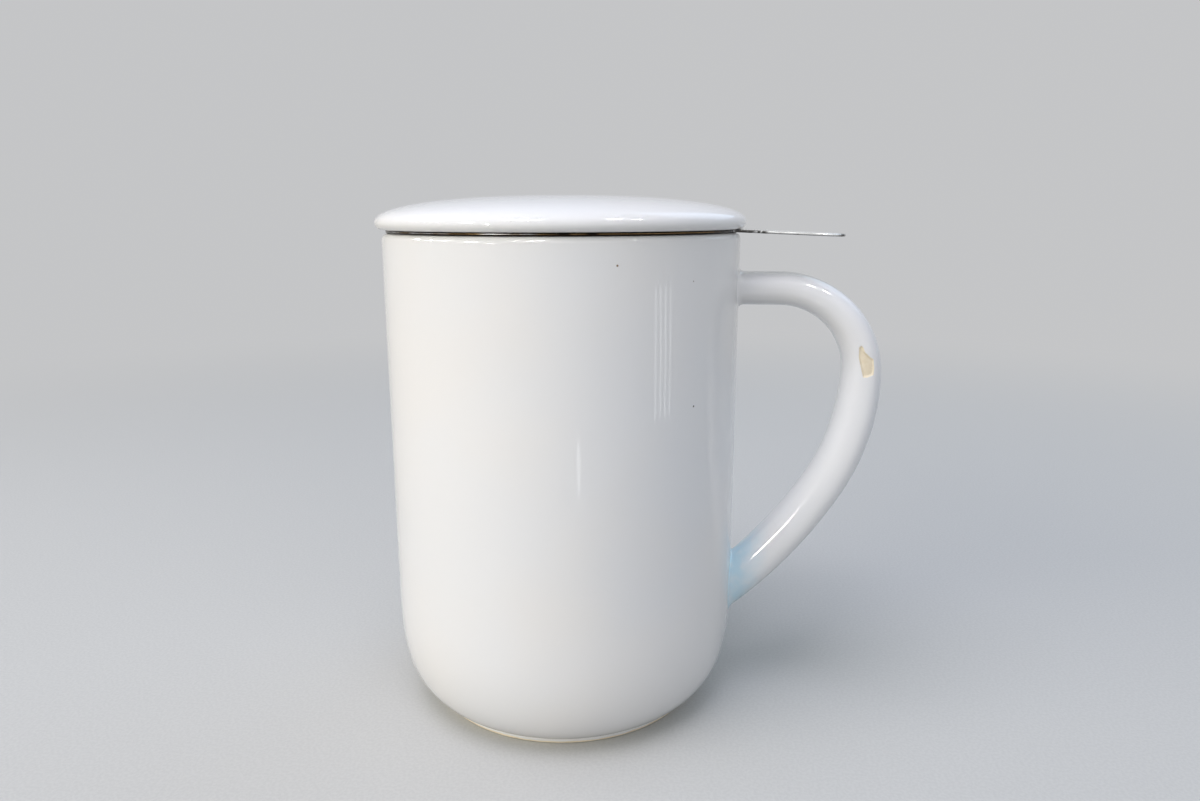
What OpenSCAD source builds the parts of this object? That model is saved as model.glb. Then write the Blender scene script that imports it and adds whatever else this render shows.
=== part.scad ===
// Lidded tea mug with a lift-out infuser basket.
// The origin is the middle of the foot, on the surface that the mug stands on.
// +Z is up, and +X points from the mug's axis to its handle.

/* [Mug] */
// Diameter of the straight wall
body_d = 85; // [78:1:92]
// Height of the rim above the table
body_h = 115.8; // [108:0.2:126]
// Thickness of the wall
wall_t = 3.8; // [3.4:0.1:4.6]
// Rounding of each side of the lip
lip_r = 1.5; // [0.8:0.1:1.6]
// Height at which the wall begins to turn in to the foot
turn_h = 30.4; // [26:0.2:34]
// Reach of the turn inwards
turn_w = 22.9; // [19:0.1:25]
// Squareness of the turn, where 2 is a plain ellipse
turn_power = 3.2; // [2.4:0.1:3.6]
// Thickness of the floor over the recess in the foot
floor_t = 4.6; // [3.6:0.2:5.4]

/* [Foot] */
// Diameter of the foot ring
foot_d = 66.8; // [60:0.2:70]
// Height of the foot ring below the turned wall
foot_h = 1.3; // [1:0.1:2]
// Width of the foot ring
foot_w = 3.6; // [2.8:0.1:5]
// Depth of the recess inside the foot ring
recess_h = 2.4; // [1.6:0.1:3]
// Bevel of the foot ring's edges
foot_bevel = 0.5; // [0.3:0.1:0.8]

/* [Handle] */
// Drop from the rim to the middle of the upper root
handle_drop = 13; // [11:0.1:18]
// Height of the middle of the lower root
handle_low_h = 28.8; // [25:0.2:34]
// Reach of the handle's centreline from the wall
handle_reach = 29.3; // [26:0.2:32]
// Radius of the upper bend
bend_r = 19.8; // [15:0.1:22]
// Slant from the vertical where the handle's lower run begins
slant = 31.4; // [28:0.2:36]
// Slant from the vertical where the lower run meets the wall
root_slant = 47.8; // [44:0.2:52]
// Width of the oval section, across the handle
handle_w = 12.4; // [10:0.2:15]
// Thickness of the section at the upper root
handle_top_t = 7.8; // [6.6:0.1:9]
// Thickness of the section at the middle of the handle
handle_mid_t = 9.7; // [8:0.1:11.5]
// Thickness of the section at the lower root
handle_low_t = 10.2; // [9:0.1:13]
// Swell of the section where a root meets the wall
root_swell = 0.6; // [0.3:0.1:1.2]
// Length over which a root swells
root_l = 3; // [2:0.1:5]

/* [Lid] */
// Overhang of the lid past the mug's wall
lid_overhang = 1.4; // [0.6:0.1:3]
// Rise of the lid's top above its seat
lid_rise = 7.8; // [6.6:0.1:10]
// Height of the lid's widest line above its seat
lid_edge_h = 1.5; // [1:0.1:2.2]
// Squareness of the dome, where 2 is a plain ellipse
lid_power = 2.3; // [2:0.1:3]
// Thickness of the lid in its middle
lid_t = 4.2; // [3.4:0.1:5]
// Depth of the locating ring below the seat
ring_h = 5; // [3.5:0.1:8]
// Thickness of the locating ring
ring_t = 3; // [2.4:0.1:4]
// Clearance between the locating ring and the infuser's collar
ring_gap = 0.9; // [0.5:0.1:1.6]

/* [Infuser] */
// Thickness of the rim flange, whose sheet is doubled
flange_t = 0.8; // [0.7:0.1:1.2]
// Inset of the flange's edge from the mug's outer wall
flange_inset = 1; // [0.6:0.1:1.4]
// Clearance between the collar and the inside of the mug
collar_gap = 1.2; // [0.8:0.1:2]
// Thickness of the collar and the hoop
band_t = 0.5; // [0.4:0.1:0.8]
// Height of the collar
collar_h = 12; // [10:0.5:16]
// Thickness of the perforated sheet
sheet_t = 0.4; // [0.3:0.1:0.6]
// Depth of the basket below the rim
basket_h = 80; // [72:1:84]
// Overlap of the wall with the collar, and height of the floor's turned-up edge
seam_h = 4; // [3:0.5:6]
// Height of the hoop round the foot of the basket
hoop_h = 6; // [5:0.5:10]
// Diameter of each perforation
hole_d = 2; // [1.2:0.1:2.6]
// Distance between neighbouring perforations
hole_pitch = 7; // [6:0.5:10]

/* [Tab] */
// Reach of the lifting tab past the flange
tab_l = 25; // [20:0.5:30]
// Width of the lifting tab
tab_w = 16; // [12:0.5:22]
// Thickness of the lifting tab
tab_t = 0.6; // [0.4:0.1:0.7]
// Radius of the tab's root fillets
tab_fillet = 3; // [2:0.1:5]
// Downward slope of the tab, in degrees
tab_slope = 2.5; // [0:0.5:3]

/* [Hidden] */
porcelain = [0.93, 0.94, 0.95];
steel = [0.74, 0.74, 0.76];
$fn = 96;
// How far a cut runs past the face it opens
clear = 1;
// Straight steps in a turned curve, and in a small rounding
turn_steps = 20;
round_steps = 6;

// Mug
body_r = body_d / 2;
bore_r = body_r - wall_t;
floor_z = recess_h + floor_t;
foot_r = foot_d / 2;
foot_in_r = foot_r - foot_w;

// Infuser, from the mug's bore inwards and from its rim upwards
flange_r = body_r - flange_inset;
collar_r = bore_r - collar_gap;
sheet_r = collar_r - band_t;
cup_r = sheet_r - sheet_t;
seat_z = body_h + flange_t;
basket_z = body_h - basket_h;
// How far the tab's root runs into the flange
tab_sink = 1;
// Distance between staggered rows, and length of the cutter for each perforation
hole_row = hole_pitch * sin(60);
hole_cut = sheet_t + 2 * clear;

// Lid, from the infuser's collar inwards
lid_r = body_r + lid_overhang;
ring_r = sheet_r - ring_gap;
ring_in_r = ring_r - ring_t;

// Handle: lengths along its centreline, from the wall at the top
handle_top_h = body_h - handle_drop;
lower_drop = handle_top_h - bend_r - handle_low_h;
// Reach and drop of the sweep and of the lower run, two arcs, for a radius of 1. Together they
// span the handle's reach and the drop below its upper bend, and that gives both radii.
sweep = [1 - cos(slant), sin(slant)];
run = [cos(slant) - cos(root_slant), sin(root_slant) - sin(slant)];
spread = sweep[0] * run[1] - run[0] * sweep[1];
sweep_r = (handle_reach * run[1] - lower_drop * run[0]) / spread;
run_r = (lower_drop * sweep[0] - handle_reach * sweep[1]) / spread;
bend_s = handle_reach - bend_r;
sweep_s = bend_s + bend_r * PI / 2;
run_s = sweep_s + sweep_r * slant * PI / 180;
end_s = run_s + run_r * (root_slant - slant) * PI / 180;
// The sweep runs on into the wall at both ends, and is cut to it
sunk = 10;
handle_rings = 44;
handle_sides = 20;
// Shares of the length between which the handle thickens
thicken_from = 0.1;
thicken_to = 0.55;

// Arc of radius r about a point, from one angle to another
function arc(centre, r, from, to, steps = round_steps) =
  [for (i = [0:steps]) let (a = from + (to - from) * i / steps) centre + r * [cos(a), sin(a)]];

// Point on a squared ellipse about a centre, with half sizes w and h; t is 0 at +x and 90 at +y
function squared(centre, w, h, power, t) =
  centre + [w * pow(abs(cos(t)), 2 / power), h * pow(abs(sin(t)), 2 / power) * sign(sin(t))];

// Angle on that curve at which it is a share of w from its centre
function squared_angle(share, power) = acos(pow(share, power / 2));

// Outside of the mug's wall, from the lip down to the foot ring
turn_end = squared_angle(1 - (body_r - foot_r) / turn_w, turn_power);
turn_drop = (turn_h - foot_h) / pow(sin(turn_end), 2 / turn_power);
outside = [
  for (i = [0:turn_steps])
    squared([body_r - turn_w, turn_h], turn_w, turn_drop, turn_power, -turn_end * i / turn_steps)
];

// Inside of the mug, from its floor's edge up to the lip
inside_w = turn_w - wall_t;
inside = [
  for (i = [turn_steps:-1:0])
    squared([bore_r - inside_w, turn_h], inside_w, turn_h - floor_z, turn_power, -90 * i / turn_steps)
];

// Everything within the mug's outer surface, for cutting what stands on it
module mug_outline() {
  rotate_extrude() polygon(concat([[0, body_h], [body_r, body_h]], outside, [[foot_r, 0], [0, 0]]));
}

module mug_body() {
  foot = [
    [foot_r, foot_bevel], [foot_r - foot_bevel, 0],
    [foot_in_r + foot_bevel, 0], [foot_in_r, foot_bevel],
    [foot_in_r - foot_bevel, recess_h], [0, recess_h]
  ];
  lip = concat(
    arc([bore_r + lip_r, body_h - lip_r], lip_r, 180, 90),
    arc([body_r - lip_r, body_h - lip_r], lip_r, 90, 0)
  );
  color(porcelain)
    rotate_extrude() polygon(concat(outside, foot, [[0, floor_z]], inside, lip));
}

// Place and heading on the handle's centreline: [x, z, degrees down from +X]
function handle_at(s) =
  s < bend_s ? [body_r + s, handle_top_h, 0]
  : s < sweep_s ? let (a = (s - bend_s) / bend_r * 180 / PI)
    [body_r + bend_s + bend_r * sin(a), handle_top_h - bend_r * (1 - cos(a)), a]
  : s < run_s ? let (a = (s - sweep_s) / sweep_r * 180 / PI)
    [
      body_r + handle_reach - sweep_r * (1 - cos(a)),
      handle_top_h - bend_r - sweep_r * sin(a),
      90 + a
    ]
  : let (a = root_slant - (end_s - s) / run_r * 180 / PI)
    [
      body_r + run_r * (cos(a) - cos(root_slant)),
      handle_low_h + run_r * (sin(root_slant) - sin(a)),
      90 + a
    ];

// Ease from 0 to 1 as u goes from a to b
function ease(u, a, b) = (1 - cos(180 * max(0, min(1, (u - a) / (b - a))))) / 2;

// Thickness of the section at s
function handle_t(s) = let (u = s / end_s)
  handle_top_t + (handle_mid_t - handle_top_t) * ease(u, thicken_from, thicken_to)
  + (handle_low_t - handle_mid_t) * ease(u, thicken_to, 1);

// Length along the centreline at ring i: the rings lie closer together near the roots
function ring_s(i) = let (u = i / handle_rings) (end_s + 2 * sunk) * (u + ease(u, 0, 1)) / 2 - sunk;

// Point on the handle's surface at s, q degrees round the section from its outer side
function handle_skin(s, q, swell = 0) = let (
  at = handle_at(s),
  across = (handle_t(s) / 2 + swell) * cos(q)
)
  [at[0] + across * sin(at[2]), (handle_w / 2 + swell) * sin(q), at[1] + across * cos(at[2])];

// How much the skin swells at a point, by its distance from the mug's wall
function swell_at(p) = let (d = norm([p[0], p[1]]) - body_r)
  root_swell * pow(max(0, 1 - max(0, d) / root_l), 2);

module mug_handle() {
  points = [
    for (i = [0:handle_rings], k = [0:handle_sides - 1])
      let (s = ring_s(i), q = 360 * k / handle_sides) handle_skin(s, q, swell_at(handle_skin(s, q)))
  ];
  last = handle_rings * handle_sides;
  sides = [
    for (i = [0:handle_rings - 1], k = [0:handle_sides - 1])
      let (here = i * handle_sides, next = (k + 1) % handle_sides)
        [here + k, here + next, here + handle_sides + next, here + handle_sides + k]
  ];
  ends = [
    [for (k = [handle_sides - 1:-1:0]) k],
    [for (k = [0:handle_sides - 1]) last + k]
  ];
  color(porcelain) difference() {
    polyhedron(points, concat(sides, ends));
    mug_outline();
  }
}

module lid() {
  dome_h = lid_rise - lid_edge_h;
  under_h = lid_rise - lid_t;
  ring_round = ring_t / 3;
  edge = [
    for (i = [0:round_steps])
      squared([lid_r - lid_edge_h, lid_edge_h], lid_edge_h, lid_edge_h, 2, -90 + 90 * i / round_steps)
  ];
  dome = [for (i = [1:turn_steps]) squared([0, lid_edge_h], lid_r, dome_h, lid_power, 90 * i / turn_steps)];
  under = [for (i = [turn_steps:-1:0]) squared([0, 0], ring_in_r, under_h, lid_power, 90 * i / turn_steps)];
  ring = concat(
    arc([ring_in_r + ring_round, ring_round - ring_h], ring_round, 180, 270),
    arc([ring_r - ring_round, ring_round - ring_h], ring_round, 270, 360),
    [[ring_r, 0]]
  );
  color(porcelain)
    translate([0, 0, seat_z]) rotate_extrude() polygon(concat(edge, dome, under, ring));
}

// Flange, collar and lifting tab, pressed from one sheet
module infuser_rim() {
  hem_r = flange_t / 2;
  bend = band_t * 2;
  profile = concat(
    [[sheet_r, -collar_h], [collar_r, -collar_h]],
    arc([collar_r + band_t, -band_t], band_t, 180, 90),
    arc([flange_r - hem_r, hem_r], hem_r, -90, 90),
    arc([sheet_r + bend, flange_t - bend], bend, 90, 180)
  );
  color(steel) union() {
    translate([0, 0, body_h]) rotate_extrude() polygon(profile);
    tab();
  }
}

// Flat tab with a round end, its root fillets tangent to the flange's edge
module tab() {
  end_r = tab_w / 2;
  fillet_y = end_r + tab_fillet;
  root_a = asin(fillet_y / (flange_r + tab_fillet));
  fillet_x = (flange_r + tab_fillet) * cos(root_a);
  root_r = flange_r - tab_sink;
  outline = concat(
    [root_r * [cos(root_a), -sin(root_a)]],
    arc([fillet_x, -fillet_y], tab_fillet, 180 - root_a, 90),
    arc([flange_r + tab_l - end_r, 0], end_r, -90, 90, 4 * round_steps),
    arc([fillet_x, fillet_y], tab_fillet, 270, 180 + root_a),
    [root_r * [cos(root_a), sin(root_a)]]
  );
  translate([flange_r, 0, body_h + (flange_t - tab_t) / 2]) rotate([0, tab_slope, 0])
    translate([-flange_r, 0, 0]) linear_extrude(tab_t) polygon(outline);
}

// Rolled tube of perforated sheet, in staggered rows between the collar and the hoop
module infuser_wall() {
  low = basket_z + hoop_h + hole_d;
  high = body_h - collar_h - hole_d;
  rows = floor((high - low) / hole_row);
  start = (low + high - rows * hole_row) / 2;
  columns = floor(2 * PI * sheet_r / hole_pitch);
  color(steel) difference() {
    translate([0, 0, basket_z]) cylinder(r = sheet_r, h = basket_h - collar_h + seam_h);
    translate([0, 0, basket_z - clear]) cylinder(r = cup_r, h = basket_h);
    for (i = [0:rows], k = [0:columns - 1])
      rotate([0, 0, (k + (i % 2) / 2) * 360 / columns])
        translate([cup_r - clear, 0, start + i * hole_row])
          rotate([0, 90, 0]) cylinder(d = hole_d, h = hole_cut, $fn = 24);
  }
}

// Perforated disc with a turned-up edge, inside the foot of the wall
module infuser_floor() {
  rings = floor((cup_r - 2 * hole_d) / hole_pitch);
  color(steel) difference() {
    translate([0, 0, basket_z]) cylinder(r = cup_r, h = seam_h);
    translate([0, 0, basket_z + sheet_t]) cylinder(r = cup_r - sheet_t, h = seam_h);
    for (i = [0:rings]) for (k = [0:max(0, 6 * i - 1)])
      rotate([0, 0, 60 * k / max(1, i)])
        translate([i * hole_pitch, 0, basket_z - clear]) cylinder(d = hole_d, h = hole_cut, $fn = 24);
  }
}

// Plain band round the foot of the wall
module infuser_hoop() {
  color(steel) translate([0, 0, basket_z]) difference() {
    cylinder(r = collar_r, h = hoop_h);
    translate([0, 0, -clear]) cylinder(r = sheet_r, h = hoop_h + 2 * clear);
  }
}

mug_body();
mug_handle();
lid();
infuser_rim();
infuser_wall();
infuser_floor();
infuser_hoop();
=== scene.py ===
"""A white porcelain tea mug with a lift-out steel infuser and a domed lid, on a pale floor."""
import math

import bmesh
import bpy
import numpy as np
from mathutils import Matrix, Vector


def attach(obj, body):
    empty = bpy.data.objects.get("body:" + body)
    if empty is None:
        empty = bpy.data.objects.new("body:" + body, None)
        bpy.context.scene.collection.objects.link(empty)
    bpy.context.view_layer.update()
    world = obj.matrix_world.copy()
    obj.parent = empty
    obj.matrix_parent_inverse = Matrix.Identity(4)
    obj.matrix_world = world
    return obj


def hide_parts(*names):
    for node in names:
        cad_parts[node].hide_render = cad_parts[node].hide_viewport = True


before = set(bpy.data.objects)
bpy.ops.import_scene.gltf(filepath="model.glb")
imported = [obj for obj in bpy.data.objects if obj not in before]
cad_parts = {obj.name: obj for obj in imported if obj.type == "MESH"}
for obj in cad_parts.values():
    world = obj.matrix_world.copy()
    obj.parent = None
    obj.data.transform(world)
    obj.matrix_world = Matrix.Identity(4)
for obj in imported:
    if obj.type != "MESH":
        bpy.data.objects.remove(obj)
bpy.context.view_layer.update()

MM = 0.001
SCENE = bpy.context.scene

# ---------------------------------------------------------------- sizes, in millimetres
BODY_R = 42.5            # outside of the straight wall
RIM_Z = 115.8            # top of the lip
BORE_R = 38.7            # inside of the wall
LIP_R = 1.5              # rounding of each side of the lip
TURN_Z = 30.4            # where the wall turns in to the foot
TURN_W = 22.9            # reach of that turn
TURN_POWER = 3.2         # its squareness
FLOOR_Z = 7.0            # the cup's floor inside
FOOT_R = 33.4            # foot ring, outside and inside
FOOT_IN_R = 29.8
FOOT_H = 1.3             # foot ring below the turned wall
RECESS_Z = 2.4           # underside inside the foot ring
GLAZE_Z = 0.6            # the glaze stops this far above the table

HANDLE_TOP_Z = 102.8     # middle of the upper root
HANDLE_LOW_Z = 28.8      # middle of the lower root
HANDLE_REACH = 29.3      # from the wall to the outermost point of the centreline
BEND_R = 19.8            # upper bend
SLANT = math.radians(31.4)       # from the vertical, where the lower run begins
ROOT_SLANT = math.radians(47.8)  # and where it meets the wall
HANDLE_W = 12.4          # section across the handle
HANDLE_T = (7.8, 9.7, 10.2)  # section's thickness at the top, the middle and the bottom
HANDLE_POWER = 2.35      # section's squareness
THICKEN = (0.1, 0.55)    # shares of the length between which it thickens
ROOT_FILLET = 1.3        # fillet where each root meets the wall

LID_R = 43.9             # widest line of the lid
LID_EDGE_H = 1.5         # that line above the seat
LID_RISE = 7.8           # top above the seat
LID_POWER = 2.3          # squareness of the dome
LID_T = 4.2              # thickness in the middle
RING_R = 36.1            # locating ring, outside and inside
RING_IN_R = 33.1
RING_H = 5.0             # its depth below the seat

FLANGE_R = 41.5          # edge of the steel flange
FLANGE_T = 0.8           # doubled sheet
HEM_W = 2.5              # width of the doubled edge
COLLAR_R = 37.5          # outside of the collar and the hoop
SHEET_R = 37.0           # outside of the perforated wall
SHEET_T = 0.4
BASKET_Z = 35.8          # underside of the basket
COLLAR_H = 12.0
SEAM_H = 4.0             # overlap of wall and collar, and the floor's turned-up edge
HOOP_H = 6.0
TAB_L = 25.0             # tab past the flange
TAB_W = 16.0
TAB_T = 0.6
TAB_SLOPE = math.radians(2.5)
TAB_FILLET = 3.0
HOLE_D = 1.2             # perforations, and the distance between them
HOLE_PITCH = 2.6

SEAT_Z = RIM_Z + FLANGE_T    # the lid rests here

ROUND_SIDES = 288        # facets round the turned pieces
DISC_SIDES = 144         # round the basket's floor
HOLE_SIDES = 12          # and round a perforation


# ---------------------------------------------------------------- outlines
def arc(centre, radius, start, end, steps=10):
    """Points (r, z) on an arc, with its angles in degrees."""
    angles = np.radians(np.linspace(start, end, steps + 1))
    return [(centre[0] + radius * math.cos(a), centre[1] + radius * math.sin(a)) for a in angles]


def squared(centre, width, height, power, start, end, steps):
    """Evenly spaced points (r, z) on a squared ellipse, with its parameter in degrees."""
    fine_steps = 40 * steps
    t = np.radians(np.linspace(start, end, fine_steps + 1))
    c, s = np.cos(t), np.sin(t)
    x = centre[0] + width * np.abs(c) ** (2 / power) * np.sign(np.round(c, 9))
    z = centre[1] + height * np.abs(s) ** (2 / power) * np.sign(np.round(s, 9))
    along = np.concatenate([[0], np.cumsum(np.hypot(np.diff(x), np.diff(z)))])
    even = np.linspace(0, along[-1], steps + 1)
    return list(zip(np.interp(even, along, x), np.interp(even, along, z)))


def line(start, end, steps):
    """Points (r, z) on a straight line, without its ends."""
    return [tuple(np.array(start) + (np.array(end) - start) * i / steps) for i in range(1, steps)]


def wall_turn():
    """End parameter in radians and drop of the wall's turn, so that it meets the foot ring."""
    share = 1 - (BODY_R - FOOT_R) / TURN_W
    end = math.acos(share ** (TURN_POWER / 2))
    return end, (TURN_Z - FOOT_H) / math.sin(end) ** (2 / TURN_POWER)


def wall_r(z):
    """Outer radius of the wall at a height."""
    if z >= TURN_Z:
        return BODY_R
    share = min(1.0, (TURN_Z - z) / wall_turn()[1])
    return BODY_R - TURN_W * (1 - (1 - share ** TURN_POWER) ** (1 / TURN_POWER))


# ---------------------------------------------------------------- meshes
def add_piece(name, points, faces, material, body, node, slot, bare=None):
    """Makes a closed mesh from points in millimetres, and fixes it to the frame.

    bare gives, for each point, how far the glaze is missing there.
    """
    mesh = bpy.data.meshes.new(name)
    mesh.from_pydata([tuple(float(c) * MM for c in p) for p in points], [], faces)
    if bare is not None:
        mesh.attributes.new("bare", "FLOAT", "POINT").data.foreach_set("value", bare)
    shell = bmesh.new()
    shell.from_mesh(mesh)
    bmesh.ops.remove_doubles(shell, verts=shell.verts, dist=1e-6)
    bmesh.ops.recalc_face_normals(shell, faces=shell.faces)
    shell.to_mesh(mesh)
    shell.free()
    mesh.shade_smooth()
    mesh.materials.append(material)
    piece = bpy.data.objects.new(name, mesh)
    SCENE.collection.objects.link(piece)
    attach(piece, body)
    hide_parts(node)
    return piece


def sharpen(piece, degrees):
    """Keeps edges sharper than an angle crisp."""
    piece.data.set_sharp_from_angle(angle=math.radians(degrees))


def lathe(profile, sides):
    """Points and faces of an outline turned about the axis.

    An outline whose ends lie on the axis closes there in fans, and any other joins up with itself.
    """
    points, rings, faces = [], [], []
    for r, z in profile:
        if r < 1e-6:
            rings.append([len(points)])
            points.append((0, 0, z))
            continue
        rings.append(list(range(len(points), len(points) + sides)))
        for k in range(sides):
            a = 2 * math.pi * k / sides
            points.append((r * math.cos(a), r * math.sin(a), z))
    on_axis = len(rings[0]) == 1
    pairs = list(zip(rings, rings[1:])) + ([] if on_axis else [(rings[-1], rings[0])])
    for one, two in pairs:
        for k in range(sides):
            n = (k + 1) % sides
            if len(one) == 1:
                faces.append((one[0], two[k], two[n]))
            elif len(two) == 1:
                faces.append((one[k], two[0], one[n]))
            else:
                faces.append((one[k], two[k], two[n], one[n]))
    return points, faces


# ---------------------------------------------------------------- shader nodes
def new_material(name):
    """A material, its node tree and its surface shader."""
    material = bpy.data.materials.new(name)
    material.use_nodes = True
    return material, material.node_tree, material.node_tree.nodes["Principled BSDF"]


def add_node(tree, kind, inputs=None, **settings):
    """Adds a shader node. inputs maps a socket's name or number to a value or to another socket."""
    made = tree.nodes.new(kind)
    for key, value in settings.items():
        setattr(made, key, value)
    for key, value in (inputs or {}).items():
        if isinstance(value, bpy.types.NodeSocket):
            tree.links.new(value, made.inputs[key])
        else:
            made.inputs[key].default_value = value
    return made


def noise(tree, vector, scale, detail=2.0, roughness=0.5):
    """Smooth noise about 0.5; scale is in waves per metre."""
    return add_node(
        tree, "ShaderNodeTexNoise",
        {"Vector": vector, "Scale": scale, "Detail": detail, "Roughness": roughness},
    ).outputs["Fac"]


def span(tree, value, low, high, to_low=0.0, to_high=1.0):
    """Maps a value smoothly from one range to another, held at the ends."""
    return add_node(
        tree, "ShaderNodeMapRange",
        {0: value, 1: low, 2: high, 3: to_low, 4: to_high},
        interpolation_type="SMOOTHSTEP", clamp=True,
    ).outputs[0]


def mix_colour(tree, factor, first, second):
    """Blends two colours, each a socket or (r, g, b); a factor of 0 gives the first."""
    made = add_node(tree, "ShaderNodeMix", data_type="RGBA")
    for socket, value in ((0, factor), (6, first), (7, second)):
        if isinstance(value, bpy.types.NodeSocket):
            tree.links.new(value, made.inputs[socket])
        else:
            made.inputs[socket].default_value = value if socket == 0 else (*value, 1)
    return made.outputs[2]


def maths(tree, operation, first, second=0.0):
    """Applies an operation to one or two values."""
    return add_node(tree, "ShaderNodeMath", {0: first, 1: second}, operation=operation).outputs[0]


def bump(tree, height, distance, normal=None):
    """Raises the surface by height times distance, in metres."""
    inputs = {"Height": height, "Distance": distance}
    if normal is not None:
        inputs["Normal"] = normal
    return add_node(tree, "ShaderNodeBump", inputs).outputs["Normal"]


def position(tree):
    """Place on the piece as it is built, in metres."""
    return add_node(tree, "ShaderNodeTexCoord").outputs["Object"]


def split(tree, place):
    """The X, Y and Z sockets of a place."""
    return add_node(tree, "ShaderNodeSeparateXYZ", {0: place}).outputs


def length(tree, vector):
    """Length of a vector."""
    return add_node(tree, "ShaderNodeVectorMath", {0: vector}, operation="LENGTH").outputs["Value"]


def times(tree, vector, factors):
    """A vector times (x, y, z), part by part."""
    return add_node(
        tree, "ShaderNodeVectorMath", {0: vector, 1: factors}, operation="MULTIPLY"
    ).outputs[0]


# ---------------------------------------------------------------- materials
WHITE = (0.835, 0.84, 0.845)
WARM_WHITE = (0.85, 0.84, 0.825)
# Whiter than the body's glaze: painted light, for the brighter light on the handle
LIT_HANDLE_WHITE = (0.885, 0.89, 0.90)
BISQUE = (0.89, 0.79, 0.61)
BISQUE_DARK = (0.84, 0.73, 0.54)
POOLED = (0.60, 0.79, 0.88)
STEEL = ((0.58, 0.575, 0.57), (0.66, 0.655, 0.64))       # two shades, in blotches
# Lighter copy of the steel for the tab: painted highlight along its edge
TAB_HIGHLIGHT_STEEL = ((0.88, 0.88, 0.87), (0.88, 0.88, 0.87))
# Painted warm reflection along the middle of the flange's edge
WARM_REFLECTION_BROWN = (0.22, 0.14, 0.062)
# Near black: painted shade in the gap under the lid and under the tab's edge, and the tab's dark specks
SHADE_AND_SPECK_BLACK = (0.020, 0.014, 0.010)
GLAZE_IOR = 1.52
CLAY_ROUGHNESS = 0.8
# Pinholes in the glaze: angle from +X in degrees, height, radius (mm), colour
SPECKS = [
    (-65.3, 110.1, 0.30, (0.23, 0.15, 0.07)),
    (-39.1, 79.5, 0.28, (0.06, 0.05, 0.05)),
    (-40.2, 106.3, 0.22, (0.42, 0.38, 0.34)),
    (-88.0, 15.2, 0.24, (0.45, 0.40, 0.34)),
]


def porcelain(name, bare, white=WHITE, specks=(), pooled=False):
    """Glossy white glaze over porcelain. bare(tree, place) gives where the glaze is missing.

    pooled tints the glaze that has run into the handle's lower root.
    """
    material, tree, shader = new_material(name)
    place = position(tree)
    colour = mix_colour(tree, span(tree, noise(tree, place, 22), 0.35, 0.65), white, WARM_WHITE)
    roughness = span(tree, noise(tree, place, 60, 3), 0.3, 0.7, 0.03, 0.07)
    waves = bump(tree, noise(tree, place, 45, 1), 0.12 * MM)
    skin = bump(tree, noise(tree, place, 620, 2), 0.006 * MM, waves)
    for angle, height, radius, tint in specks:
        a = math.radians(angle)
        centre = Vector((BODY_R * math.cos(a), BODY_R * math.sin(a), height)) * MM
        distance = add_node(
            tree, "ShaderNodeVectorMath", {0: place, 1: centre}, operation="DISTANCE"
        ).outputs["Value"]
        dot = span(tree, distance, radius * MM * 0.45, radius * MM, 1, 0)
        colour = mix_colour(tree, dot, colour, tint)
    if pooled:
        parts = split(tree, place)
        near = span(tree, parts["X"], (BODY_R + 1) * MM, (BODY_R + 10) * MM, 1, 0)
        low = span(tree, parts["Z"], 45 * MM, 60 * MM, 1, 0)
        streaks = span(tree, noise(tree, place, 260, 2), 0.3, 0.6, 0.55, 1.0)
        amount = maths(tree, "MULTIPLY", maths(tree, "MULTIPLY", near, low), streaks)
        colour = mix_colour(tree, amount, colour, POOLED)
        close = span(tree, parts["X"], (BODY_R - 1) * MM, (BODY_R + 3) * MM, 1, 0)
        corner = maths(tree, "MULTIPLY", close, low)
        bubbles = maths(tree, "MULTIPLY", corner, noise(tree, place, 1300, 2))
        skin = bump(tree, bubbles, 0.12 * MM, skin)
    clay = mix_colour(tree, span(tree, noise(tree, place, 900, 3), 0.3, 0.7), BISQUE, BISQUE_DARK)
    grain = bump(tree, noise(tree, place, 2500, 3), 0.08 * MM)
    missing = bare(tree, place)
    colour = mix_colour(tree, missing, colour, clay)
    roughness = add_node(
        tree, "ShaderNodeMix", {0: missing, 2: roughness, 3: CLAY_ROUGHNESS}, data_type="FLOAT"
    ).outputs[0]
    skin = add_node(
        tree, "ShaderNodeMix", {0: missing, 4: skin, 5: grain}, data_type="VECTOR"
    ).outputs[1]
    tree.links.new(colour, shader.inputs["Base Color"])
    tree.links.new(roughness, shader.inputs["Roughness"])
    tree.links.new(skin, shader.inputs["Normal"])
    shader.inputs["IOR"].default_value = GLAZE_IOR
    return material


def below(height):
    """A mask that is 1 below a height in millimetres, with a slightly uneven edge."""
    edge = 0.12
    unevenness = 0.5

    def mask(tree, place):
        wander = maths(tree, "SUBTRACT", noise(tree, place, 180), 0.5)
        uneven = maths(tree, "MULTIPLY", wander, unevenness * MM)
        level = maths(tree, "ADD", split(tree, place)["Z"], uneven)
        return span(tree, level, (height - edge) * MM, (height + edge) * MM, 1, 0)
    return mask


def chipped(tree, place):
    """The mask painted on the handle's mesh, where the glaze is chipped."""
    painted = add_node(tree, "ShaderNodeAttribute", attribute_name="bare").outputs["Fac"]
    return span(tree, painted, 0.35, 0.65)


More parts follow.
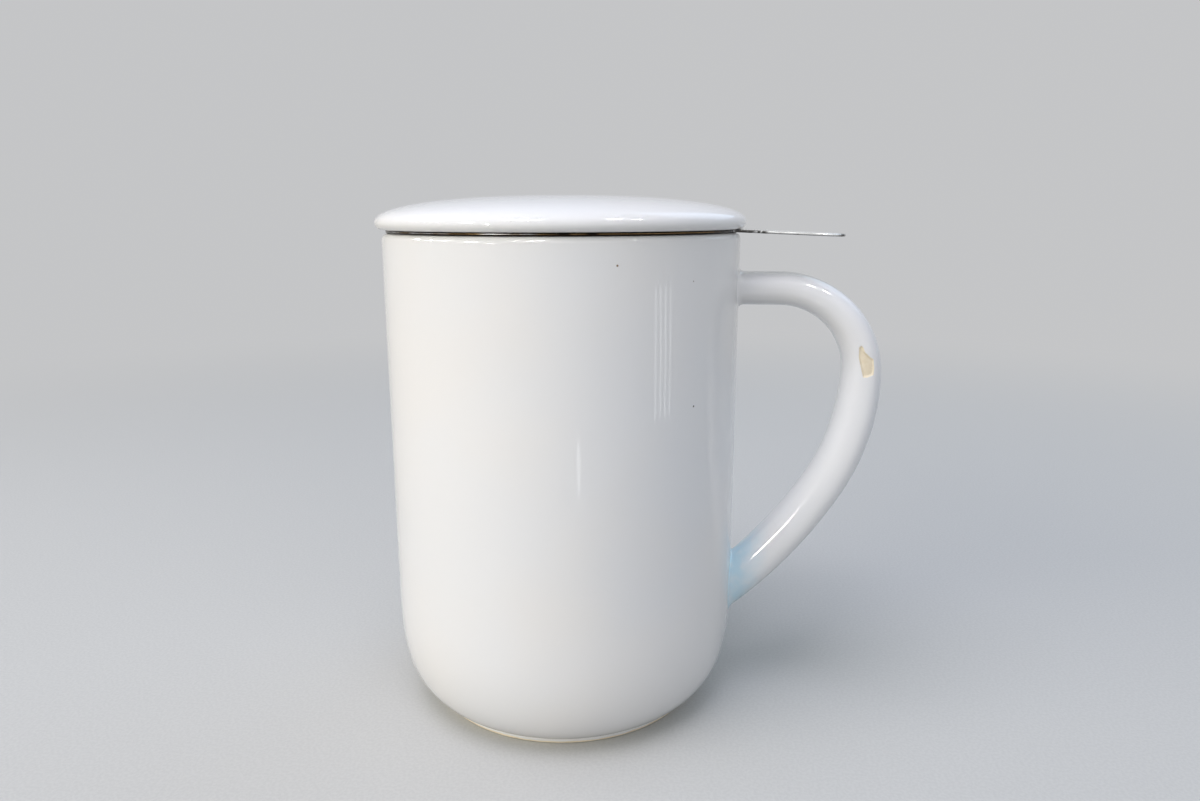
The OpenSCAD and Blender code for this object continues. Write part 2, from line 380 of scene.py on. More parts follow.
def steel(name, around=True, shades=STEEL, marks=None):
    """Pressed stainless sheet, brushed round the axis or along X.

    shades are the two that it is blotched with, and marks(tree, place, tint) adds painted shade, a
    painted reflection or dark specks to them.
    """
    material, tree, shader = new_material(name)
    place = position(tree)
    if around:
        parts = split(tree, place)
        turn = maths(tree, "ARCTAN2", parts["Y"], parts["X"])
        radius = length(tree, times(tree, place, (1, 1, 0)))
        grain_place = add_node(
            tree, "ShaderNodeCombineXYZ",
            {0: maths(tree, "MULTIPLY", turn, 0.0025), 1: parts["Z"], 2: radius},
        ).outputs[0]
    else:
        grain_place = times(tree, place, (0.04, 1, 1))
    grain = noise(tree, grain_place, 5200, 3, 0.6)
    blotch = noise(tree, place, 160, 3)
    tint = mix_colour(tree, span(tree, blotch, 0.3, 0.7), *shades)
    if marks is not None:
        tint = marks(tree, place, tint)
    tree.links.new(tint, shader.inputs["Base Color"])
    tree.links.new(span(tree, grain, 0.25, 0.75, 0.20, 0.36), shader.inputs["Roughness"])
    brushed = bump(tree, grain, 0.01 * MM)
    dented = bump(tree, noise(tree, place, 420, 2), 0.03 * MM, brushed)
    tree.links.new(dented, shader.inputs["Normal"])
    shader.inputs["Metallic"].default_value = 1.0
    return material


def rim_painted_shade(tree, place, tint):
    """Painted shade and a painted reflection on the flange's edge, in the gap between the lid and the
    cup.

    It is a painted warm reflection, brown, along the middle of the edge, and painted shade, almost black,
    above, below and in blots.
    """
    radius = length(tree, times(tree, place, (1, 1, 0)))
    edge = span(tree, radius, (FLANGE_R - 1.6) * MM, (FLANGE_R - 0.5) * MM)
    middle = (RIM_Z + FLANGE_T * 0.55) * MM
    off_middle = maths(tree, "ABSOLUTE", maths(tree, "SUBTRACT", split(tree, place)["Z"], middle))
    patches = span(tree, noise(tree, place, 55, 3, 0.6), 0.36, 0.50)
    # Painted reflection: brown along the middle of the edge, with steel left in patches
    brown = mix_colour(tree, patches, tint, WARM_REFLECTION_BROWN)
    blots = span(tree, noise(tree, place, 90, 3), 0.50, 0.60)
    # Painted shade: near black above and below the middle of the edge, and in blots
    dark = maths(tree, "MAXIMUM", span(tree, off_middle, 0.04 * MM, 0.13 * MM), blots)
    return mix_colour(tree, edge, tint, mix_colour(tree, dark, brown, SHADE_AND_SPECK_BLACK))


def tab_specks_and_painted_shade(tree, place, tint):
    """Dark specks along the tab's edge, most at its root and tip, and painted shade: a dark line under
    that edge.
    """
    parts = split(tree, place)
    half = TAB_W / 2
    past_round = maths(tree, "SUBTRACT", parts["X"], (FLANGE_R + TAB_L - half) * MM)
    offset = add_node(
        tree, "ShaderNodeCombineXYZ", {0: maths(tree, "MAXIMUM", past_round, 0), 1: parts["Y"]}
    ).outputs[0]
    reach = length(tree, offset)                 # from the middle line or the round end's middle
    edge = span(tree, reach, (half - 1.4) * MM, (half - 0.3) * MM, 0.12, 1)
    root = span(tree, parts["X"], (FLANGE_R + 6) * MM, (FLANGE_R + 7.5) * MM, 1, 0)
    tip = span(tree, parts["X"], (FLANGE_R + TAB_L - 3) * MM, (FLANGE_R + TAB_L - 1) * MM)
    specks = span(tree, noise(tree, place, 800, 3, 0.7), 0.38, 0.48)
    few = span(tree, noise(tree, place, 1100, 2), 0.66, 0.72)
    specked = maths(tree, "MULTIPLY", maths(tree, "MAXIMUM", root, tip), specks)
    specked = maths(tree, "MULTIPLY", maths(tree, "MAXIMUM", specked, few), edge)
    out = maths(tree, "SUBTRACT", parts["X"], FLANGE_R * MM)
    height = maths(tree, "ADD", parts["Z"], maths(tree, "MULTIPLY", out, math.tan(TAB_SLOPE)))
    middle = RIM_Z + FLANGE_T / 2
    # Painted shade: a dark line along the underside of the tab's edge
    under = span(tree, height, (middle - 0.16) * MM, (middle - 0.04) * MM, 0.9, 0)
    under = maths(tree, "MULTIPLY", under, span(tree, reach, (half - 0.25) * MM, half * MM))
    specked_tint = mix_colour(tree, maths(tree, "MULTIPLY", specked, 0.9), tint, SHADE_AND_SPECK_BLACK)
    return mix_colour(tree, under, specked_tint, SHADE_AND_SPECK_BLACK)


glaze_body = porcelain("glaze_body", below(GLAZE_Z), specks=SPECKS)
# The handle's glaze is whiter than the body's: painted light
glaze_handle = porcelain("glaze_handle", chipped, LIT_HANDLE_WHITE, pooled=True)
glaze_lid = porcelain("glaze_lid", below(SEAT_Z - RING_H + 0.7))
# The flange's edge gets painted shade and a painted reflection in the gap under the lid
steel_rim = steel("steel_rim", marks=rim_painted_shade)
# The tab's steel is a lighter copy, a painted highlight, with painted shade under its edge
steel_tab = steel("steel_tab", around=False, shades=TAB_HIGHLIGHT_STEEL, marks=tab_specks_and_painted_shade)
steel_turned = steel("steel_turned")
steel_flat = steel("steel_flat", around=False)


# ---------------------------------------------------------------- mug
def mug_profile():
    """Closed outline of the cup, from the middle of its underside round to the middle of its floor."""
    bevel = 0.5
    recess_r = 1.3
    junction_r, junction_drop = 0.5, 0.35
    turn_angle, turn_drop = wall_turn()
    turn_end = -math.degrees(turn_angle)
    inside_w = TURN_W - (BODY_R - BORE_R)
    foot = (
        [(0, RECESS_Z)] + line((0, RECESS_Z), (FOOT_IN_R - recess_r, RECESS_Z), 8)
        + arc((FOOT_IN_R - recess_r, RECESS_Z - recess_r), recess_r, 90, 0, 6)
        + arc((FOOT_IN_R + bevel, bevel), bevel, 180, 270, 5)
        + arc((FOOT_R - bevel, bevel), bevel, 270, 360, 5)
    )
    junction = arc((FOOT_R + junction_r, FOOT_H - junction_drop), junction_r, 180, 125, 4)
    turn = squared((BODY_R - TURN_W, TURN_Z), TURN_W, turn_drop, TURN_POWER, turn_end, 0, 48)
    outer = line((BODY_R, TURN_Z), (BODY_R, RIM_Z - LIP_R), 24)
    lip = (
        arc((BODY_R - LIP_R, RIM_Z - LIP_R), LIP_R, 0, 90)
        + arc((BORE_R + LIP_R, RIM_Z - LIP_R), LIP_R, 90, 180)
    )
    inner = line((BORE_R, RIM_Z - LIP_R), (BORE_R, TURN_Z), 24)
    bowl = squared((BORE_R - inside_w, TURN_Z), inside_w, TURN_Z - FLOOR_Z, TURN_POWER, 0, -90, 36)
    floor = line((BORE_R - inside_w, FLOOR_Z), (0, FLOOR_Z), 6) + [(0, FLOOR_Z)]
    clear_turn = turn[2:]                        # without the points that the junction rounds off
    return foot + junction + clear_turn + outer + lip + inner + bowl + floor


add_piece("mug_shell", *lathe(mug_profile(), ROUND_SIDES), glaze_body, "mug", "mug_body", "porcelain")


# ---------------------------------------------------------------- handle
# Reach and drop of the sweep and of the lower run, two arcs, for a radius of 1
SPANS = [[1 - math.cos(SLANT), math.cos(SLANT) - math.cos(ROOT_SLANT)],
         [math.sin(SLANT), math.sin(ROOT_SLANT) - math.sin(SLANT)]]
SWEEP_R, RUN_R = np.linalg.solve(SPANS, [HANDLE_REACH, HANDLE_TOP_Z - BEND_R - HANDLE_LOW_Z])
# Lengths along the centreline at which each stretch begins, and at which it meets the wall
BEND_S = HANDLE_REACH - BEND_R
SWEEP_S = BEND_S + BEND_R * math.pi / 2
RUN_S = SWEEP_S + SWEEP_R * SLANT
END_S = RUN_S + RUN_R * (ROOT_SLANT - SLANT)
# Outline of the chip in the glaze, seen along +Y: (x, z) in millimetres
CHIP = [(70.1, 89.8), (70.6, 90.3), (71.1, 89.8), (71.5, 88.8), (72.9, 87.5), (73.6, 87.1),
        (73.9, 85.0), (73.8, 83.4), (72.3, 82.8), (71.4, 82.8), (70.9, 84.7), (70.2, 87.3)]
CHIP_DEPTH = 0.28
CHIP_EDGE = 0.3          # width over which the glaze gives way round it
CHIP_SLOPE = 0.45        # width over which it deepens


def handle_centre(s):
    """Place (x, z) and heading, down from +X in radians, at a length along the centreline."""
    if s < BEND_S:
        return BODY_R + s, HANDLE_TOP_Z, 0.0
    if s < SWEEP_S:
        a = (s - BEND_S) / BEND_R
        return BODY_R + BEND_S + BEND_R * math.sin(a), HANDLE_TOP_Z - BEND_R * (1 - math.cos(a)), a
    if s < RUN_S:
        a = (s - SWEEP_S) / SWEEP_R
        x = BODY_R + HANDLE_REACH - SWEEP_R * (1 - math.cos(a))
        return x, HANDLE_TOP_Z - BEND_R - SWEEP_R * math.sin(a), math.pi / 2 + a
    a = ROOT_SLANT - (END_S - s) / RUN_R
    x = BODY_R + RUN_R * (math.cos(a) - math.cos(ROOT_SLANT))
    return x, HANDLE_LOW_Z + RUN_R * (math.sin(ROOT_SLANT) - math.sin(a)), math.pi / 2 + a


def ease(u, low, high):
    """Rises smoothly from 0 at low to 1 at high."""
    return (1 - math.cos(math.pi * max(0.0, min(1.0, (u - low) / (high - low))))) / 2


def squarish(value):
    """Moves a cosine or sine out from a circle to a squared one."""
    return math.copysign(abs(value) ** (2 / HANDLE_POWER), value)


def handle_skin(s, q):
    """Point on the oval section at s, q radians round from its outer side."""
    x, z, heading = handle_centre(s)
    top, middle, low = HANDLE_T
    u = s / END_S
    thick = top + (middle - top) * ease(u, *THICKEN) + (low - middle) * ease(u, THICKEN[1], 1)
    across = thick / 2 * squarish(math.cos(q))
    return np.array([
        x + across * math.sin(heading), HANDLE_W / 2 * squarish(math.sin(q)),
        z + across * math.cos(heading),
    ])


def meets_wall(q, inside, outside):
    """Length along the centreline at which the skin's line at q meets the wall."""
    for _ in range(40):
        middle = (inside + outside) / 2
        x, y, z = handle_skin(middle, q)
        if math.hypot(x, y) > wall_r(z):
            outside = middle
        else:
            inside = middle
    return outside


def wall_point(around, z, sunk):
    """Point sunk in the wall, at a distance round it from +X and a height."""
    r = wall_r(z) - sunk
    return np.array([r * math.cos(around / BODY_R), r * math.sin(around / BODY_R), z])


def root_fillet(corner, start, middle_z, steps):
    """Points from the handle's skin to the wall, on a curve tangent to both."""
    around, rise = BODY_R * math.atan2(corner[1], corner[0]), corner[2] - middle_z
    grown = 1 + ROOT_FILLET / math.hypot(around, rise)
    end = wall_point(around * grown, middle_z + rise * grown, sunk=0.03)
    t = np.linspace(0, 1, steps + 1)[1:, None]
    return (1 - t) ** 2 * start + 2 * t * (1 - t) * corner + t ** 2 * end


def chip_inset(x, z):
    """Distance inside the chip's outline, in millimetres; negative outside it."""
    inside, nearest = False, 1e9
    for (x1, z1), (x2, z2) in zip(CHIP, CHIP[1:] + CHIP[:1]):
        along = max(0.0, min(1.0, ((x - x1) * (x2 - x1) + (z - z1) * (z2 - z1))
                             / ((x2 - x1) ** 2 + (z2 - z1) ** 2)))
        nearest = min(nearest, math.hypot(x - x1 - along * (x2 - x1), z - z1 - along * (z2 - z1)))
        if (z1 > z) != (z2 > z) and x < x1 + (z - z1) / (z2 - z1) * (x2 - x1):
            inside = not inside
    return nearest if inside else -nearest


def make_handle():
    """Sweeps the oval section, with finer steps at the chip, and fillets both roots."""
    all_turns = np.linspace(0, 2 * math.pi, 96, endpoint=False)
    chip_turns = np.radians(np.linspace(250, 325, 60))
    turns = sorted({round(a, 6) for a in [*all_turns, *chip_turns]})
    chip_shares = np.linspace(0.26, 0.40, 70)
    shares = sorted({round(u, 6) for u in [*np.linspace(0, 1, 170), *chip_shares]})
    fillet_steps = 9
    corners = []
    for q in turns:
        top_s = meets_wall(q, -8, 8)             # from well inside the wall to well out of it
        low_s = meets_wall(q, END_S + 12, RUN_S)
        corners.append((top_s, low_s, handle_skin(top_s, q), handle_skin(low_s, q)))
    low_z = sum(low_corner[2] for *_, low_corner in corners) / len(corners)
    lines = []
    for (top_s, low_s, top_corner, low_corner), q in zip(corners, turns):
        run = [
            handle_skin(top_s + ROOT_FILLET + u * (low_s - top_s - 2 * ROOT_FILLET), q)
            for u in shares
        ]
        top = root_fillet(top_corner, run[0], HANDLE_TOP_Z, fillet_steps)
        low = root_fillet(low_corner, run[-1], low_z, fillet_steps)
        lines.append([*top[::-1], *run, *low])
    grid = np.array(lines)                       # lines round the section x points along each x 3
    bare = np.zeros(grid.shape[:2])
    for k, q in enumerate(turns):
        if math.sin(q) >= 0:
            continue
        for i, (x, _, z) in enumerate(grid[k]):
            inset = chip_inset(x, z)
            if inset < -CHIP_EDGE:
                continue
            bare[k, i] = max(0.0, min(1.0, 0.5 + inset / CHIP_EDGE))
            depth = CHIP_DEPTH * ease(inset, -0.02, CHIP_SLOPE)
            grid[k, i] += depth * np.array([-math.cos(q) * 0.7, 1.0, 0.0])
    around, along = grid.shape[:2]
    points = [tuple(p) for p in grid.reshape(-1, 3)]
    faces = [
        (k * along + i, k * along + i + 1, (k + 1) % around * along + i + 1, (k + 1) % around * along + i)
        for k in range(around) for i in range(along - 1)
    ]
    hub_r = BODY_R - 1.5                         # each end closes in a cone inside the wall
    for ring, z in ((0, HANDLE_TOP_Z), (along - 1, low_z)):
        hub = len(points)
        points.append((hub_r, 0, z))
        faces += [(k * along + ring, (k + 1) % around * along + ring, hub) for k in range(around)]
    add_piece(
        "mug_ear", points, faces, glaze_handle, "mug", "mug_handle", "porcelain",
        bare=[*bare.ravel(), 0.0, 0.0],
    )


make_handle()


# ---------------------------------------------------------------- lid
def lid_profile():
    """Closed outline of the lid, from the top's middle round to the underside's middle."""
    round_r = 1.0
    neck_r = 0.5
    dome = squared((0, SEAT_Z + LID_EDGE_H), LID_R, LID_RISE - LID_EDGE_H, LID_POWER, 90, 0, 72)
    edge = arc((LID_R - LID_EDGE_H, SEAT_Z + LID_EDGE_H), LID_EDGE_H, 0, -90)
    seat = line(edge[-1], (RING_R + neck_r, SEAT_Z), 6)
    neck = arc((RING_R + neck_r, SEAT_Z - neck_r), neck_r, 90, 180, 5)
    ring = (
        arc((RING_R - round_r, SEAT_Z - RING_H + round_r), round_r, 0, -90, 7)
        + arc((RING_IN_R + round_r, SEAT_Z - RING_H + round_r), round_r, 270, 180, 7)
    )
    under = squared((0, SEAT_Z), RING_IN_R, LID_RISE - LID_T, LID_POWER, 0, 90, 36)
    return dome + edge[1:] + seat + neck + ring + under


add_piece("lid_shell", *lathe(lid_profile(), ROUND_SIDES), glaze_lid, "lid", "lid", "porcelain")


# ---------------------------------------------------------------- infuser
def rim_profile():
    """Closed outline of the collar and the flange, whose edge is folded under."""
    hem = FLANGE_T / 2
    fold_r = FLANGE_R - HEM_W
    nick = 0.1
    under_r, over_r = 0.9, 1.2                   # the collar's bend, under and over the sheet
    foot, under, top = RIM_Z - COLLAR_H, RIM_Z + hem - under_r, RIM_Z + FLANGE_T
    return (
        [(SHEET_R, foot), (COLLAR_R, foot)]
        + line((COLLAR_R, foot), (COLLAR_R, under), 8)
        + arc((COLLAR_R + under_r, under), under_r, 180, 90, 6)
        + [(fold_r, RIM_Z + hem), (fold_r, RIM_Z + nick), (fold_r + nick, RIM_Z)]
        + arc((FLANGE_R - hem, RIM_Z + hem), hem, -90, 90, 8)
        + line((FLANGE_R - hem, top), (SHEET_R + over_r, top), 5)
        + arc((SHEET_R + over_r, top - over_r), over_r, 90, 180, 8)
        + line((SHEET_R, top - over_r), (SHEET_R, foot), 8)
    )


def tab_outline():
    """Closed outline (x, y) of the tab, whose root fillets are tangent to the flange's edge."""
    half = TAB_W / 2
    root_y = half + TAB_FILLET
    root_a = math.asin(root_y / (FLANGE_R + TAB_FILLET))
    root_x = (FLANGE_R + TAB_FILLET) * math.cos(root_a)
    turn = math.degrees(root_a)
    sunk_r = FLANGE_R - 1                        # the tab's root lies inside the flange
    end_x, end_y = sunk_r * math.cos(root_a), sunk_r * math.sin(root_a)
    return (
        [(end_x, -end_y)]
        + arc((root_x, -root_y), TAB_FILLET, 180 - turn, 90, 8)
        + arc((FLANGE_R + TAB_L - half, 0), half, -90, 90, 40)
        + arc((root_x, root_y), TAB_FILLET, 270, 180 + turn, 8)
        + [(end_x, end_y)]
    )


def make_tab():
    """Flat tab with softened edges, sloping down from the flange."""
    soft = TAB_T * 0.42                          # radius of the edge's rounding
    outline = np.array(tab_outline())
    ahead, behind = np.roll(outline, -1, 0), np.roll(outline, 1, 0)
    way = ahead - behind
    inward = np.stack([-way[:, 1], way[:, 0]], 1) / np.hypot(*way.T)[:, None]
    layers = []
    for a in np.radians(np.linspace(-90, 90, 9)):
        inset = soft * (1 - math.cos(a))
        height = (TAB_T / 2 - soft) * np.sign(round(a, 6)) + soft * math.sin(a)
        layers.append([(x, y, height) for x, y in outline + inward * inset])
    n = len(outline)
    points = [p for layer in layers for p in layer]
    faces = [
        (j * n + k, j * n + (k + 1) % n, (j + 1) * n + (k + 1) % n, (j + 1) * n + k)
        for j in range(len(layers) - 1) for k in range(n)
    ]
    faces += [tuple(reversed(range(n))), tuple((len(layers) - 1) * n + k for k in range(n))]
    drop = Matrix.Rotation(TAB_SLOPE, 3, "Y")
    hinge = Vector((FLANGE_R, 0, RIM_Z + FLANGE_T / 2))
    placed = [tuple(drop @ (Vector(p) - Vector((FLANGE_R, 0, 0))) + hinge) for p in points]
    piece = add_piece(
        "infuser_tab", placed, faces, steel_tab, "infuser", "infuser_rim", "steel"
    )
    sharpen(piece, 50)


def hole_cells(columns, rows, width, height, radius):
    """Points (u, v) and faces of a sheet of staggered holes, which joins up with itself along u.

    Each cell is a ring of faces from its rim to its hole. Also gives the points round each hole.
    """
    rim = [(0.5, 0), (0.5, 0.5), (0, 0.5), (-0.5, 0.5), (-0.5, 0), (-0.5, -0.5), (0, -0.5), (0.5, -0.5)]
    rim_n = len(rim)
    points, faces, holes = [], [], []
    for j in range(rows):
        for k in range(columns):
            u = (k + 0.5 * (j % 2) + 0.5) * width
            v = (j + 0.5) * height
            at = len(points)
            points += [(u + x * width, v + y * height) for x, y in rim]
            points += [
                (u + radius * math.cos(2 * math.pi * i / HOLE_SIDES),
                 v + radius * math.sin(2 * math.pi * i / HOLE_SIDES)) for i in range(HOLE_SIDES)
            ]
            hole = [at + rim_n + i for i in range(HOLE_SIDES)]
            holes.append(hole)
            for i in range(rim_n):
                first, last = round(i * HOLE_SIDES / rim_n), round((i + 1) * HOLE_SIDES / rim_n)
                edge = [hole[m % HOLE_SIDES] for m in range(first, last + 1)]
                faces.append((at + i, at + (i + 1) % rim_n, *reversed(edge)))
    return points, faces, holes


def make_basket_wall():
    """Tube of sheet with fine staggered holes between two plain bands."""
    columns = round(2 * math.pi * SHEET_R / HOLE_PITCH)
    width = 2 * math.pi * SHEET_R / columns
    margin = 1.5                                 # plain sheet past the band and the collar
    low, high = BASKET_Z + HOOP_H + margin, RIM_Z - COLLAR_H - margin
    rows = round((high - low) / (HOLE_PITCH * math.sin(math.pi / 3)))
    height = (high - low) / rows
    flat, flat_faces, holes = hole_cells(columns, rows, width, height, HOLE_D / 2)
    skins = (SHEET_R, SHEET_R - SHEET_T)         # outside and inside of the sheet
    points, faces = [], []
    for r in skins:
        at = len(points)
        points += [(r * math.cos(u / SHEET_R), r * math.sin(u / SHEET_R), low + v) for u, v in flat]
        faces += [tuple(at + i for i in face) for face in flat_faces]
    inner = len(flat)
    for hole in holes:
        for a, b in zip(hole, hole[1:] + hole[:1]):
            faces.append((a, b, inner + b, inner + a))
    steps, rings = 2 * columns, 4
    for foot, top in ((BASKET_Z, low), (high, RIM_Z - COLLAR_H + SEAM_H)):
        at = len(points)
        for r in skins:
            for z in np.linspace(foot, top, rings):
                points += [
                    (r * math.cos(math.pi * k / columns), r * math.sin(math.pi * k / columns), z)
                    for k in range(steps)
                ]
        for side in range(len(skins)):
            for j in range(rings - 1):
                row = at + (side * rings + j) * steps
                faces += [(row + k, row + (k + 1) % steps, row + steps + (k + 1) % steps, row + steps + k)
                          for k in range(steps)]
        end = 0 if foot == BASKET_Z else rings - 1
        one, two = at + end * steps, at + (rings + end) * steps
        faces += [(one + k, one + (k + 1) % steps, two + (k + 1) % steps, two + k) for k in range(steps)]
    piece = add_piece(
        "infuser_mesh_wall", points, faces, steel_turned, "infuser", "infuser_wall", "perforated_steel"
    )
    sharpen(piece, 40)


def stands_at(points, face, radius):
    """Whether a face stands upright at a radius."""
    heights = [points[i].z for i in face]
    at_radius = all(abs(math.hypot(points[i].x, points[i].y) - radius) < 0.001 for i in face)
    return at_radius and max(heights) - min(heights) > SHEET_T / 2


def make_basket_floor():
    """Perforated disc with a rounded, turned-up edge."""
    edge_r = SHEET_R - SHEET_T
    bend = 2.0
    flat_r = edge_r - bend
    curve = bpy.data.curves.new("infuser_mesh_floor", "CURVE")
    curve.dimensions = "2D"
    curve.fill_mode = "BOTH"
    curve.extrude = SHEET_T / 2 * MM
    loops = [((0, 0), flat_r, DISC_SIDES)]
    reach = int(flat_r / HOLE_PITCH) + 1
    for i in range(-reach, reach + 1):
        for j in range(-2 * reach, 2 * reach + 1):
            x = (i + 0.5 * (j % 2)) * HOLE_PITCH
            y = j * HOLE_PITCH * math.sin(math.pi / 3)
            if math.hypot(x, y) < flat_r - HOLE_D:
                loops.append(((x, y), HOLE_D / 2, HOLE_SIDES))
    for (x, y), r, n in loops:
        loop = curve.splines.new("POLY")
        loop.points.add(n - 1)
        loop.use_cyclic_u = True
        for k, point in enumerate(loop.points):
            a = 2 * math.pi * k / n
            point.co = ((x + r * math.cos(a)) * MM, (y + r * math.sin(a)) * MM, 0, 1)
    sheet = bpy.data.objects.new("sheet", curve)
    mesh = bpy.data.meshes.new_from_object(sheet)
    points = [Vector(v.co) / MM + Vector((0, 0, BASKET_Z + SHEET_T / 2)) for v in mesh.vertices]
    faces = [tuple(p.vertices) for p in mesh.polygons]
    bpy.data.objects.remove(sheet)
    bpy.data.curves.remove(curve)
    bpy.data.meshes.remove(mesh)
    top = BASKET_Z + SEAM_H
    band = (
        arc((flat_r, BASKET_Z + bend), bend, -90, 0, 8) + [(edge_r, top)]
        + [(edge_r - SHEET_T, top)] + arc((flat_r, BASKET_Z + bend), bend - SHEET_T, 0, -90, 8)
    )
    band_points, band_faces = lathe(band, DISC_SIDES)
    at = len(points)
    points += [Vector(p) for p in band_points]
    faces += [tuple(at + i for i in face) for face in band_faces]
    # The disc and the bend join at their edges, without the faces between them
    faces = [face for face in faces if not stands_at(points, face, flat_r)]
    piece = add_piece(
        "infuser_mesh_floor", points, faces, steel_flat, "infuser", "infuser_floor", "perforated_steel"
    )
    sharpen(piece, 40)


def hoop_profile():
    """Closed outline of the band round the basket's foot, its lower edge curled in a little."""
    soft = 0.22
    low, high = BASKET_Z, BASKET_Z + HOOP_H
    return (
        [(SHEET_R, low + soft)] + arc((SHEET_R + soft, low + soft), soft, 180, 270, 4)
        + arc((COLLAR_R - soft, low + soft), soft, 270, 360, 4)
        + line((COLLAR_R, low + soft), (COLLAR_R, high - soft), 4)
        + arc((COLLAR_R - soft, high - soft), soft, 0, 90, 4)
        + [(SHEET_R, high)]
    )


flange = add_piece(
    "infuser_flange", *lathe(rim_profile(), ROUND_SIDES), steel_rim, "infuser", "infuser_rim", "steel"
)
sharpen(flange, 50)
make_tab()
make_basket_wall()
make_basket_floor()
band = add_piece(
    "infuser_band", *lathe(hoop_profile(), ROUND_SIDES), steel_turned, "infuser", "infuser_hoop", "steel"
)
sharpen(band, 50)


# ---------------------------------------------------------------- floor, light and camera
FLOOR_COLOUR = (0.56, 0.56, 0.54)
BOUNCE_COLOUR = (0.28, 0.28, 0.275)
FAR_COLOUR = (0.555, 0.56, 0.57)
SKY_COLOUR = (0.84, 0.905, 1.0)
SKY_LEVEL = 0.47
FADE = (0.2, 0.7)        # metres from the axis between which the floor fades


def seen(tree):
    """1 for what the camera sees, also in reflections, and 0 for diffuse light."""
    ray = add_node(tree, "ShaderNodeLightPath").outputs
    return maths(tree, "MAXIMUM", ray["Is Camera Ray"], ray["Is Glossy Ray"])


def make_floor():
    """A pale floor that fades into the colour of the world, and throws little light back up."""
    material, tree, shader = new_material("floor_paint")
    place = position(tree)
    speck = span(tree, noise(tree, place, 1400, 3), 0.35, 0.65)
    darker, lighter = (tuple(c * share for c in FLOOR_COLOUR) for share in (0.97, 1.03))
    colour = mix_colour(tree, speck, darker, lighter)
    colour = mix_colour(tree, seen(tree), BOUNCE_COLOUR, colour)
    tree.links.new(colour, shader.inputs["Base Color"])
    shader.inputs["Roughness"].default_value = 0.75
    shader.inputs["Specular IOR Level"].default_value = 0.2
    far = maths(tree, "MULTIPLY", span(tree, length(tree, place), *FADE), seen(tree))
    glow = add_node(tree, "ShaderNodeEmission", {"Color": (*FAR_COLOUR, 1), "Strength": 1.0})
    blend = add_node(
        tree, "ShaderNodeMixShader", {0: far, 1: shader.outputs[0], 2: glow.outputs[0]}
    )
    tree.links.new(blend.outputs[0], tree.nodes["Material Output"].inputs["Surface"])
    half = 12.0
    level = -0.02 * MM                           # just clear of the foot
    corners = [(-half, -half, level), (half, -half, level), (half, half, level), (-half, half, level)]
    mesh = bpy.data.meshes.new("floor")
    mesh.from_pydata(corners, [], [(0, 1, 2, 3)])
    mesh.materials.append(material)
    floor = bpy.data.objects.new("floor", mesh)
    SCENE.collection.objects.link(floor)


def make_world():
    """The floor's far colour wherever the world is seen, and a dimmer sky that lights the scene."""
    world = bpy.data.worlds.new("world")
    SCENE.world = world
    world.use_nodes = True
    tree = world.node_tree
    tree.nodes.clear()
    shown = add_node(tree, "ShaderNodeBackground", {"Color": (*FAR_COLOUR, 1), "Strength": 1.0})
    sky = add_node(tree, "ShaderNodeBackground", {"Color": (*SKY_COLOUR, 1), "Strength": SKY_LEVEL})
    blend = add_node(tree, "ShaderNodeMixShader", {0: seen(tree), 1: sky.outputs[0], 2: shown.outputs[0]})
    output = add_node(tree, "ShaderNodeOutputWorld")
    tree.links.new(blend.outputs[0], output.inputs["Surface"])


MIDDLE = (0, 0, 0.06)    # what the lights aim at


def towards(azimuth, elevation, distance):
    """A place seen from the mug's middle, in degrees from +X and above the level, and metres."""
    a, e = math.radians(azimuth), math.radians(elevation)
    flat = distance * math.cos(e)
    return flat * math.cos(a), flat * math.sin(a), MIDDLE[2] + distance * math.sin(e)


def add_lamp(name, place, size, power, colour, diffuse=True, glossy=True):
    """A rectangular light aimed at the mug; size is (width, height) in metres.

    diffuse and glossy say whether it lights surfaces, and whether they mirror it.
    """
    lamp = bpy.data.lights.new(name, "AREA")
    lamp.shape = "RECTANGLE"
    lamp.size, lamp.size_y = size
    lamp.energy = power
    lamp.color = colour
    holder = bpy.data.objects.new(name, lamp)
    holder.location = place
    holder.rotation_euler = (Vector(MIDDLE) - Vector(place)).to_track_quat("-Z", "Y").to_euler()
    holder.visible_camera = False
    holder.visible_diffuse = diffuse
    holder.visible_glossy = glossy
    SCENE.collection.objects.link(holder)


SOFT_DISTANCE = 1.25     # metres from the mug's middle
# Soft lights: azimuth, elevation, size, power, colour, and whether the glaze and steel mirror it
SOFT_LIGHTS = {
    "key": (-140, 18, (1.0, 0.9), 10.4, (1.0, 0.925, 0.785), False),
    "top_front": (-120, 72, (0.9, 0.7), 7.8, (0.86, 0.86, 1.0), False),
    "right": (-52, 14, (0.8, 0.5), 1.9, (1.0, 1.0, 1.0), False),
    "back": (50, 40, (0.8, 0.8), 2.2, (0.60, 0.77, 1.0), True),
}
# Ceiling lights that glint on the lip, the lid and the handle: azimuth, elevation, width
CEILING = [
    (170, 30, 0.085), (-175, 29, 0.07), (-164, 33, 0.10), (-138, 23, 0.17), (-123, 11, 0.07),
    (-127, 58, 0.045), (-118, 55, 0.06), (-103, 47, 0.08), (-97, 56, 0.045),
    (-34, 59, 0.115), (-21, 51, 0.085),
]
CEILING_DISTANCE = 1.4
CEILING_DEPTH = 0.12
CEILING_POWER = 45       # watts a metre of width
CEILING_COLOUR = (1.0, 0.99, 0.96)
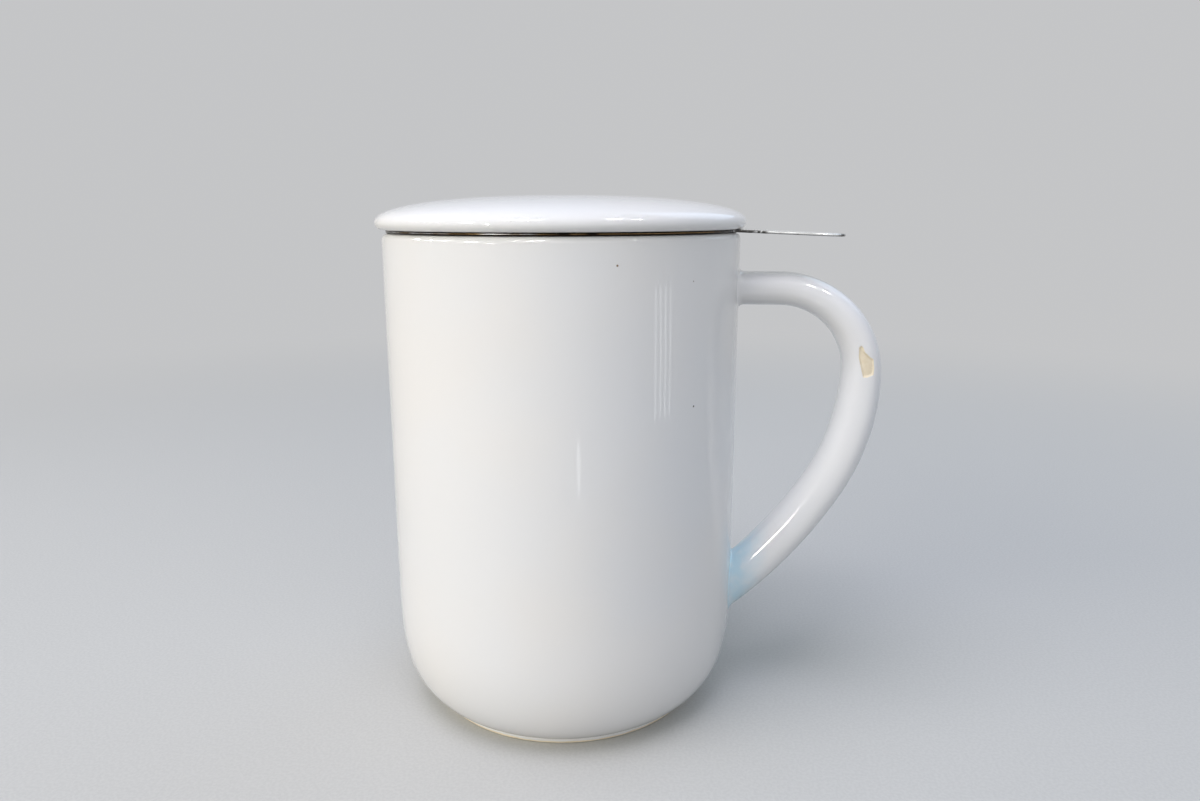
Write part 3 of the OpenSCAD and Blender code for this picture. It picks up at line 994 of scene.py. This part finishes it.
# Narrow strips mirrored in the wall as faint upright lines: azimuth, distance, height, size, power
STRIPS = [
    (-72.4, 0.186, 0.026, (0.006, 0.020), 0.0009),
    *[(-26.0 + 3.4 * k, 0.28, 0.053, (0.005, 0.063), 0.0022) for k in range(4)],
]
STRIP_COLOUR = (0.95, 0.98, 1.0)


def add_lamps():
    """The soft lights, and the ceiling lights and strips, which only show in reflections."""
    for name, (azimuth, elevation, size, power, colour, mirrored) in SOFT_LIGHTS.items():
        add_lamp(name, towards(azimuth, elevation, SOFT_DISTANCE), size, power, colour, glossy=mirrored)
    for k, (azimuth, elevation, width) in enumerate(CEILING):
        place = towards(azimuth, elevation, CEILING_DISTANCE)
        size = (width, CEILING_DEPTH)
        add_lamp(f"ceiling_{k}", place, size, CEILING_POWER * width, CEILING_COLOUR, diffuse=False)
    for k, (azimuth, distance, height, size, power) in enumerate(STRIPS):
        a = math.radians(azimuth)
        place = (distance * math.cos(a), distance * math.sin(a), height)
        add_lamp(f"strip_{k}", place, size, power, STRIP_COLOUR, diffuse=False)


# Camera: place in metres, then its heading from +Y towards +X, its dip and its roll in degrees
CAMERA_PLACE = (0.03735, -0.21183, 0.1205)
CAMERA_HEADING = -7.603
CAMERA_DIP = 12.167
CAMERA_ROLL = 0.13
CAMERA_LENS = 26.25


def make_camera():
    """The camera, in front of the mug and a little above it."""
    camera = bpy.data.cameras.new("camera")
    camera.sensor_fit = "HORIZONTAL"
    camera.sensor_width = 36
    camera.lens = CAMERA_LENS
    camera.clip_start = 0.01
    camera.clip_end = 100
    holder = bpy.data.objects.new("camera", camera)
    heading, dip, roll = (math.radians(a) for a in (CAMERA_HEADING, CAMERA_DIP, CAMERA_ROLL))
    turn = (
        Matrix.Rotation(-heading, 4, "Z")
        @ Matrix.Rotation(math.pi / 2 - dip, 4, "X")
        @ Matrix.Rotation(-roll, 4, "Z")
    )
    holder.matrix_world = Matrix.Translation(CAMERA_PLACE) @ turn
    SCENE.collection.objects.link(holder)
    SCENE.camera = holder


make_floor()
make_world()
add_lamps()
make_camera()
SCENE.view_settings.view_transform = "Standard"
